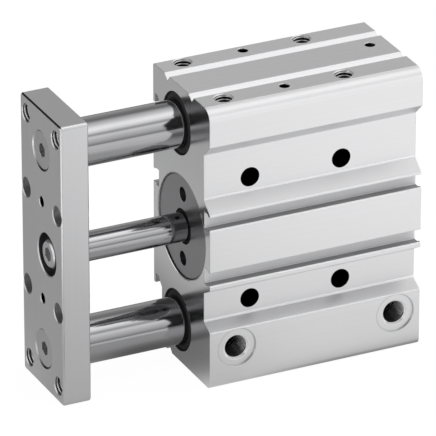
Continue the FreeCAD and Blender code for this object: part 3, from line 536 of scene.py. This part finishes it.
def finishes(mounts):
    """One material for each kind of surface, by name."""
    plated = {"dark": (0.60, 0.60, 0.61), "light": (0.70, 0.70, 0.71)}
    steel = {"dark": (0.64, 0.64, 0.65), "light": (0.80, 0.80, 0.81)}
    bare = {"dark": (0.58, 0.59, 0.60), "light": (0.70, 0.71, 0.72)}
    gland = {"dark": (0.34, 0.34, 0.35), "light": (0.41, 0.41, 0.42), "spacing": 0.4, "shine": 0.26}
    spring = {"dark": (0.07, 0.07, 0.075), "light": (0.12, 0.12, 0.125), "spacing": 2.0, "shine": 0.35}
    black = {"dark": (0.003, 0.003, 0.003), "light": (0.010, 0.010, 0.010)}
    amber = {"dark": (0.12, 0.09, 0.05), "light": (0.17, 0.13, 0.08)}
    bronze = {"dark": (0.36, 0.22, 0.10), "light": (0.52, 0.35, 0.18), "metallic": 1.0, "grain": 4000.0}
    ferrite = {"dark": (0.05, 0.05, 0.055), "light": (0.09, 0.09, 0.095), "metallic": 0.2, "grain": 6000.0}
    acetal = {"dark": (0.70, 0.67, 0.58), "light": (0.78, 0.75, 0.66), "metallic": 0.0, "grain": 3000.0}
    recipes = {
        "anodised_body": (anodised_body, {"mounts": mounts}),
        "milled_plate": (milled_plate, {"mounts": mounts}),
        "chromed_rod": (chromed_rod, {}),
        "gland": (turned_metal, {"axis": PISTON_AXIS, **gland}),
        "rear_cap": (turned_metal, {"axis": PISTON_AXIS, **bare}),
        "piston": (turned_metal, {"axis": PISTON_AXIS, **bare}),
        "circlip": (turned_metal, {"axis": PISTON_AXIS, **spring}),
        "rod_screw": (turned_metal, {"axis": PISTON_AXIS, **steel}),
        "guide_screw": (turned_metal, {"axis": GUIDE_AXIS, **plated}),
        "rod_rubber": (rubber, {"axis": PISTON_AXIS, **black}),
        "guide_rubber": (rubber, {"axis": GUIDE_AXIS, "worn": WORN_WIPER, **black}),
        "bumper": (rubber, {"axis": PISTON_AXIS, **amber}),
        "bronze": (porous, bronze),
        "ferrite": (porous, ferrite),
        "acetal": (porous, acetal),
    }
    return {name: material(name, build, **options) for name, (build, options) in recipes.items()}


NODE_FINISH = {
    "anodised_body": ["body_extrusion"],
    "milled_plate": ["tooling_plate"],
    "chromed_rod": ["guide_rod_upper", "guide_rod_lower", "piston_rod"],
    "gland": ["rod_gland"],
    "rear_cap": ["rear_cap"],
    "piston": ["piston"],
    "circlip": ["rear_circlip"],
    "rod_screw": ["piston_rod_screw", "piston_rod_washer", "piston_nut"],
    "guide_screw": ["guide_rod_screw_upper", "guide_rod_screw_lower"],
    "rod_rubber": ["gland_o_ring", "rod_wiper", "rod_seal", "rear_cap_o_ring", "piston_seal"],
    "guide_rubber": ["guide_wiper_upper", "guide_wiper_lower"],
    "bumper": ["front_bumper", "rear_bumper"],
    "bronze": ["rod_bush", "guide_bush_upper_front", "guide_bush_upper_rear",
               "guide_bush_lower_front", "guide_bush_lower_rear"],
    "ferrite": ["piston_magnet"],
    "acetal": ["piston_wear_ring"],
}


def dress_nodes(nodes, looks):
    """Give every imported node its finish."""
    for look, names in NODE_FINISH.items():
        for name in names:
            mesh = nodes[name].data
            mesh.materials.clear()
            mesh.materials.append(looks[look])


class Recipe:
    """A geometry node tree under construction, with named inputs for its sizes."""

    def __init__(self, name, sizes):
        self.tree = bpy.data.node_groups.new(name, "GeometryNodeTree")
        self.sockets = {}
        self.declare("Geometry", "NodeSocketGeometry")
        for size in sizes:
            self.declare(size, "NodeSocketFloat")
        self.declare("Turn", "NodeSocketRotation")
        self.declare("Material", "NodeSocketMaterial")
        self.tree.interface.new_socket("Geometry", in_out="OUTPUT", socket_type="NodeSocketGeometry")
        self.given = self.tree.nodes.new("NodeGroupInput")

    def declare(self, name, kind):
        socket = self.tree.interface.new_socket(name, in_out="INPUT", socket_type=kind)
        self.sockets[name] = socket.identifier

    def size(self, name):
        return self.given.outputs[name]

    def add(self, kind, settings=None, inputs=()):
        made = self.tree.nodes.new(kind)
        for name, setting in (settings or {}).items():
            setattr(made, name, setting)
        pairs = inputs.items() if isinstance(inputs, dict) else enumerate(inputs)
        for key, value in pairs:
            if isinstance(value, bpy.types.NodeSocket):
                self.tree.links.new(value, made.inputs[key])
            else:
                made.inputs[key].default_value = value
        return made.outputs[0]

    def math(self, operation, first, second):
        return self.add("ShaderNodeMath", {"operation": operation}, [first, second])

    def finish(self, shape):
        """Repeat a shape at each given point, turned as asked, in its material."""
        repeated = self.add("GeometryNodeInstanceOnPoints", inputs={
            "Points": self.size("Geometry"), "Instance": shape, "Rotation": self.size("Turn")})
        real = self.add("GeometryNodeRealizeInstances", inputs=[repeated])
        painted = self.add("GeometryNodeSetMaterial", inputs={
            "Geometry": real, "Material": self.size("Material")})
        flat = self.add("GeometryNodeSetShadeSmooth", inputs={"Geometry": painted, "Shade Smooth": False})
        out = self.tree.nodes.new("NodeGroupOutput")
        self.tree.links.new(flat, out.inputs["Geometry"])
        return self


def thread_recipe():
    """Helical ridge on the wall of a tapped hole. The hole's mouth is at the point, and it runs along -Z."""
    recipe = Recipe("tapped_thread", ["Wall radius", "Pitch", "Ridge", "Length"])
    turns = recipe.math("DIVIDE", recipe.size("Length"), recipe.size("Pitch"))
    helix = recipe.add("GeometryNodeCurveSpiral", inputs={
        "Resolution": THREAD_STEPS, "Rotations": turns, "Start Radius": recipe.size("Wall radius"),
        "End Radius": recipe.size("Wall radius"), "Height": recipe.size("Length")})
    level = recipe.add("GeometryNodeSetCurveNormal", {"mode": "Z_UP"}, {"Curve": helix})
    ridge = recipe.add("GeometryNodeCurvePrimitiveCircle", inputs={
        "Resolution": RIDGE_SIDES, "Radius": recipe.size("Ridge")})
    thread = recipe.add("GeometryNodeCurveToMesh", inputs={
        "Curve": level, "Profile Curve": ridge, "Fill Caps": True})
    down = recipe.math("MULTIPLY", recipe.size("Length"), -1.0)
    drop = recipe.add("ShaderNodeCombineXYZ", inputs={"Z": down})
    lowered = recipe.add("GeometryNodeTransform", inputs={"Geometry": thread, "Translation": drop})
    return recipe.finish(lowered)


def rib_recipe():
    """Straight rib whose length runs along the point's own Z."""
    recipe = Recipe("head_rib", ["Radius", "Length"])
    rib = recipe.add("GeometryNodeMeshCylinder", inputs={
        "Vertices": RIB_SIDES, "Radius": recipe.size("Radius"), "Depth": recipe.size("Length")})
    return recipe.finish(rib)


def repeat(name, recipe, points, sizes, turn, look, body):
    """Piece that has a recipe's shape at every point, as one plain mesh on a body."""
    mesh = bpy.data.meshes.new(name)
    mesh.from_pydata([tuple(point) for point in points], [], [])
    source = bpy.data.objects.new(name + ".points", mesh)
    bpy.context.scene.collection.objects.link(source)
    modifier = source.modifiers.new("repeat", "NODES")
    modifier.node_group = recipe.tree
    for size, value in {**sizes, "Turn": turn, "Material": look}.items():
        modifier[recipe.sockets[size]] = value
    evaluated = source.evaluated_get(bpy.context.evaluated_depsgraph_get())
    made = bpy.data.objects.new(name, bpy.data.meshes.new_from_object(evaluated))
    bpy.data.objects.remove(source)
    bpy.context.scene.collection.objects.link(made)
    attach(made, body)


def hole_centres(mount):
    """Centre of each hole of a mount, in metres."""
    centre = Vector(mount["pos_m"])
    units = ((1, 0, 0), (0, 1, 0), (0, 0, 1))
    across = [Vector(unit) for unit, along in zip(units, mount["axis"]) if not along]
    dims = mount["dims"]
    first = across[0] * dims.get("spacing_x_mm", 0.0) * MM / 2
    second = across[1] * dims.get("spacing_y_mm", 0.0) * MM / 2
    if mount["kind"] != "bolt_pattern":
        return [centre]
    return [centre + a * first + b * second for a in (-1, 1) for b in (-1, 1)]


def mouth_turn(axis):
    """Turn that takes +Z to the direction out of a hole's mouth."""
    return Vector((0, 0, 1)).rotation_difference(Vector(axis)).to_euler()


def tap_holes(mounts, looks):
    """Thread every tapped hole that can be seen. A job is a piece, its holes, and their pitch and length."""
    recipe = thread_recipe()
    in_body = ("anodised_body", "housing", "anodised_body")
    in_plate = ("milled_plate", "carriage", "plate_aluminium")
    jobs = [
        ("top_hole_threads", ["top_bolts"], TOP_PITCH, 9.0, in_body),
        ("rear_hole_threads", ["rear_bolts"], SCREW_PITCH, 12.0, in_body),
        ("port_threads", PORTS, PORT_PITCH, 8.2, in_body),
        ("plate_hole_threads", ["plate_corner_bolts"], TOP_PITCH, 9.2, in_plate),
    ]
    for name, names, pitch, length, (look, body, slot) in jobs:
        first = mounts[names[0]]
        sink = Vector(first["axis"]) * THREAD_SINK * MM
        points = [centre - sink for each in names for centre in hole_centres(mounts[each])]
        sizes = {"Wall radius": hole_radius(first) * MM, "Pitch": pitch * MM,
                 "Ridge": pitch * RIDGE_SHARE * MM, "Length": length * MM}
        repeat(name, recipe, points, sizes, mouth_turn(first["axis"]), looks[look], body)


def rib_screw_head(looks):
    """Grip ribs round the cap screw in the plate's counterbore."""
    low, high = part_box("piston_rod_screw")
    radius = (high.z - low.z) / 2
    middle = low.x + (RIB_START + RIB_LENGTH / 2) * MM
    angles = [math.tau * rib / HEAD_RIBS for rib in range(HEAD_RIBS)]
    points = [(middle, radius * math.cos(angle), radius * math.sin(angle)) for angle in angles]
    sizes = {"Radius": RIB_RADIUS * MM, "Length": RIB_LENGTH * MM}
    repeat("rod_screw_ribs", rib_recipe(), points, sizes, mouth_turn((1, 0, 0)), looks["rod_screw"],
           "carriage")


def add_camera():
    """Camera at the photograph's place and angle of view."""
    out = Vector((
        math.sin(CAMERA_AZIMUTH) * math.cos(CAMERA_ELEVATION),
        -math.cos(CAMERA_AZIMUTH) * math.cos(CAMERA_ELEVATION),
        math.sin(CAMERA_ELEVATION),
    ))
    data = bpy.data.cameras.new("camera")
    data.lens = CAMERA_LENS
    data.sensor_width = CAMERA_SENSOR
    data.clip_end = CAMERA_REACH
    camera = bpy.data.objects.new("camera", data)
    camera.location = CAMERA_TARGET + out * CAMERA_DISTANCE
    camera.rotation_euler = out.to_track_quat("Z", "Y").to_euler()
    bpy.context.scene.collection.objects.link(camera)
    bpy.context.scene.camera = camera


def add_lamp(name, place, width, height, brightness):
    """Soft box that faces the part. It lights plain surfaces, and the studio round it is what metal shows."""
    data = bpy.data.lights.new(name, "AREA")
    data.shape = "RECTANGLE"
    data.size = width
    data.size_y = height
    data.energy = brightness * math.pi * width * height
    lamp = bpy.data.objects.new(name, data)
    lamp.location = place
    lamp.rotation_euler = Vector(place).to_track_quat("Z", "Y").to_euler()
    lamp.visible_glossy = False
    bpy.context.scene.collection.objects.link(lamp)


def rays(finish):
    """1 for what the camera sees, and 1 for what metal or glass shows."""
    path = finish.node("ShaderNodeLightPath").socket.node.outputs
    camera, glossy, through = (Value(finish, path[name]) for name in
                               ("Is Camera Ray", "Is Glossy Ray", "Is Transmission Ray"))
    return camera, glossy.math("MAXIMUM", through)


# Brightness of the studio that metal shows, by angle from the port side over the top to the back
STUDIO = [
    (-20.0, 0.90), (-2.0, 0.90), (2.0, 0.42), (5.0, 0.45), (10.0, 0.62), (18.0, 0.85),
    (27.0, 1.00), (36.0, 1.25), (41.0, 1.20), (46.0, 0.68), (51.0, 0.66), (55.0, 1.00),
    (60.0, 1.35), (68.0, 1.65), (76.0, 1.85), (84.0, 1.68), (95.0, 1.25), (105.0, 1.00),
    (112.0, 0.80), (118.0, 0.55), (125.0, 0.32), (137.0, 0.34), (152.0, 0.50), (180.0, 0.55),
]
BRIGHTEST = 2.0
# The studio's left side is dark, and grows paler between two angles. Sides and ends are told by
# the x of the direction.
LEFT_ANGLES = (50.0, 64.0)
LEFT_LEVELS = (0.0, 0.15)
LEFT_TO_RIGHT = (-0.25, 0.05)
STUDIO_ENDS = [(0.78, 0.88), (-0.60, -0.75)]
STUDIO_END_LEVEL = 1.15
ROOM_LEVEL = 0.55


def share_of_turn(angle):
    """Place of an angle on the studio's ramp, which starts at -180 degrees and ends at 180."""
    return angle / 360 + 0.5


def add_world():
    """White behind the part, and a studio for its metal that is dark on the left."""
    world = bpy.data.worlds.new("studio")
    world.use_nodes = True
    bpy.context.scene.world = world
    finish = Finish(world.node_tree)
    x, y, z = finish.parts(finish.node("ShaderNodeTexCoord", output="Generated"))
    camera, glossy = rays(finish)
    turn = z.math("ARCTAN2", y * -1.0) / math.tau + 0.5
    stops = [(share_of_turn(angle), level / BRIGHTEST) for angle, level in STUDIO]
    round_the_part = finish.node("ShaderNodeValToRGB", {"stops": stops}, [turn]) * BRIGHTEST
    left = finish.ease(turn, *map(share_of_turn, LEFT_ANGLES), *LEFT_LEVELS)
    shown = round_the_part * finish.mix(finish.ease(x, *LEFT_TO_RIGHT), left, 1.0)
    right_end, left_end = (finish.ease(x, *end) for end in STUDIO_ENDS)
    shown = finish.mix(right_end + left_end, shown, STUDIO_END_LEVEL)
    level = finish.mix(camera, finish.mix(glossy, ROOM_LEVEL, shown), 1.0)
    shade = finish.node("ShaderNodeBackground", inputs={"Color": (1, 1, 1, 1), "Strength": level})
    finish.node("ShaderNodeOutputWorld", inputs={"Surface": shade})


# Brightness of the floor that metal shows, by place in mm from the port side to the back. It is darkest under
# the part, a painted shadow of it.
FLOOR = [(-350.0, 0.97), (-200.0, 0.84), (-120.0, 0.68), (-90.0, 0.60), (-40.0, 0.60), (-20.0, 0.54),
         (0.0, 0.30), (30.0, 0.22)]
FLOOR_START = -400.0
FLOOR_SPAN = 500.0
# Zones of the floor that are brighter or darker, in mm: where each comes in along x and along y. The zone
# beside the rods and the fade round the body's foot are painted shadows.
FRONT_RIGHT = [(-30.0, 20.0), (0.0, -30.0)]
FRONT_LEFT = [(-150.0, -210.0), (-20.0, -60.0)]
BEHIND_LEFT = [(-50.0, -80.0), (-30.0, 30.0)]
BEHIND_RIGHT = [(-30.0, 10.0), (-10.0, 30.0)]
BESIDE_RODS = [(-84.0, -100.0), (-20.0, -50.0)]
FOOT = (-45.0, 10.0)
FOOT_FADE = (35.0, 15.0)
# Changes along x or y alone: start and end in mm, and the levels there where they aren't 0 and 1. BESIDE_BODY
# is a painted shadow next to the body's port side.
FAR_LEFT = (-85.0, -110.0)
FAR_BEHIND = (160.0, 80.0)
FRONT_RISE = (-30.0, -180.0, 0.72, 0.94)
RIGHT_RISE = (40.0, 100.0, 0.0, 0.08)
BESIDE_BODY = (-23.5, -33.0, 0.35, 1.0)
FRONT_LEFT_FLOOR = (-140.0, -110.0, 0.40, 1.6)
# White that the camera sees, and the share of it that no shadow dims
FLOOR_WHITE = 1.02
FLOOR_GLOW = 0.95
# The floor's gap under the body in mm, and how far it reaches in metres
FLOOR_GAP = 0.05
FLOOR_REACH = 15.0


def floor_glow(finish):
    """Brightness of the floor that metal sees: bright in front and grey behind, with darker zones that are
    painted shadows under and beside the part.
    """
    x, y, _ = finish.spot()
    zones = [FRONT_RIGHT, FRONT_LEFT, BEHIND_LEFT, BEHIND_RIGHT, BESIDE_RODS]
    front_right, front_left, behind_left, behind_right, rod_shadow = (
        finish.ease(x, *across) * finish.ease(y, *along) for across, along in zones)
    stops = [((place - FLOOR_START) / FLOOR_SPAN, level) for place, level in FLOOR]
    level = finish.node("ShaderNodeValToRGB", {"stops": stops}, [(y - FLOOR_START) / FLOOR_SPAN])
    # Painted shadow on the floor round the body's foot.
    foot_shadow = finish.ease(finish.radius(x - FOOT[0], y - FOOT[1]), *FOOT_FADE)
    grey_left = 0.50 - finish.ease(x, *FAR_LEFT) * 0.12
    shown = finish.mix(behind_left, level * (1 - foot_shadow * 0.4), grey_left)
    # Painted shadow on the floor beside the rods.
    shown = shown * (1 - rod_shadow * 0.80)
    shown = finish.mix(behind_right * finish.ease(y, *FAR_BEHIND), shown, 0.50)
    in_front = finish.ease(y, *FRONT_RISE) + finish.ease(x, *RIGHT_RISE)
    # Painted shadow next to the body's port side: less of the front's brightness there.
    shown = finish.mix(front_right, shown, in_front * finish.ease(y, *BESIDE_BODY))
    return shown + front_left * finish.ease(y, *FRONT_LEFT_FLOOR)


def add_floor():
    """Pale floor that shows white and keeps a faint shadow."""
    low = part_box("body_extrusion")[0].z - FLOOR_GAP * MM
    reach = FLOOR_REACH
    corners = [(-reach, -reach, low), (reach, -reach, low), (reach, reach, low), (-reach, reach, low)]
    mesh = bpy.data.meshes.new("floor")
    mesh.from_pydata(corners, [], [(0, 1, 2, 3)])
    floor = bpy.data.objects.new("floor", mesh)
    bpy.context.scene.collection.objects.link(floor)
    made = bpy.data.materials.new("floor")
    made.use_nodes = True
    finish = Finish(made.node_tree)
    camera, glossy = rays(finish)
    strength = finish.mix(camera, floor_glow(finish), FLOOR_WHITE)
    glow = finish.node("ShaderNodeEmission", inputs={"Color": (1, 1, 1, 1), "Strength": strength})
    paint = finish.node("ShaderNodeBsdfDiffuse", inputs={"Color": (0.85, 0.85, 0.85, 1)})
    surface = finish.node("ShaderNodeMixShader", inputs=[camera * FLOOR_GLOW + glossy, paint, glow])
    finish.node("ShaderNodeOutputMaterial", inputs={"Surface": surface})
    mesh.materials.append(made)


def set_look():
    """Plain view of the colours as written, in a pale studio with two soft boxes."""
    scene = bpy.context.scene
    scene.view_settings.view_transform = "Standard"
    add_world()
    add_floor()
    add_lamp("overhead_box", (0.3, -0.2, 1.3), width=1.8, height=1.4, brightness=1.5)
    add_lamp("front_box", (1.6, -1.5, 0.75), width=1.5, height=1.3, brightness=1.5)


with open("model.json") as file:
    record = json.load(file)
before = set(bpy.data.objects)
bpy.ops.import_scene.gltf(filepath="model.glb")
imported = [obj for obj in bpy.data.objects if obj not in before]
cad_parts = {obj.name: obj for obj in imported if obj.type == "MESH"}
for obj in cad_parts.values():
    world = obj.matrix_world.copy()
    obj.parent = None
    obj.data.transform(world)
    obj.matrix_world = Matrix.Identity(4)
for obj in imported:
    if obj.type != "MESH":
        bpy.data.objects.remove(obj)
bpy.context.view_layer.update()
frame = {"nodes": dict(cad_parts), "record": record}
MOUNTS = {mount["name"]: mount for mount in frame["record"]["mounts"]}
LOOKS = finishes(MOUNTS)
dress_nodes(frame["nodes"], LOOKS)
tap_holes(MOUNTS, LOOKS)
rib_screw_head(LOOKS)
add_camera()
set_look()
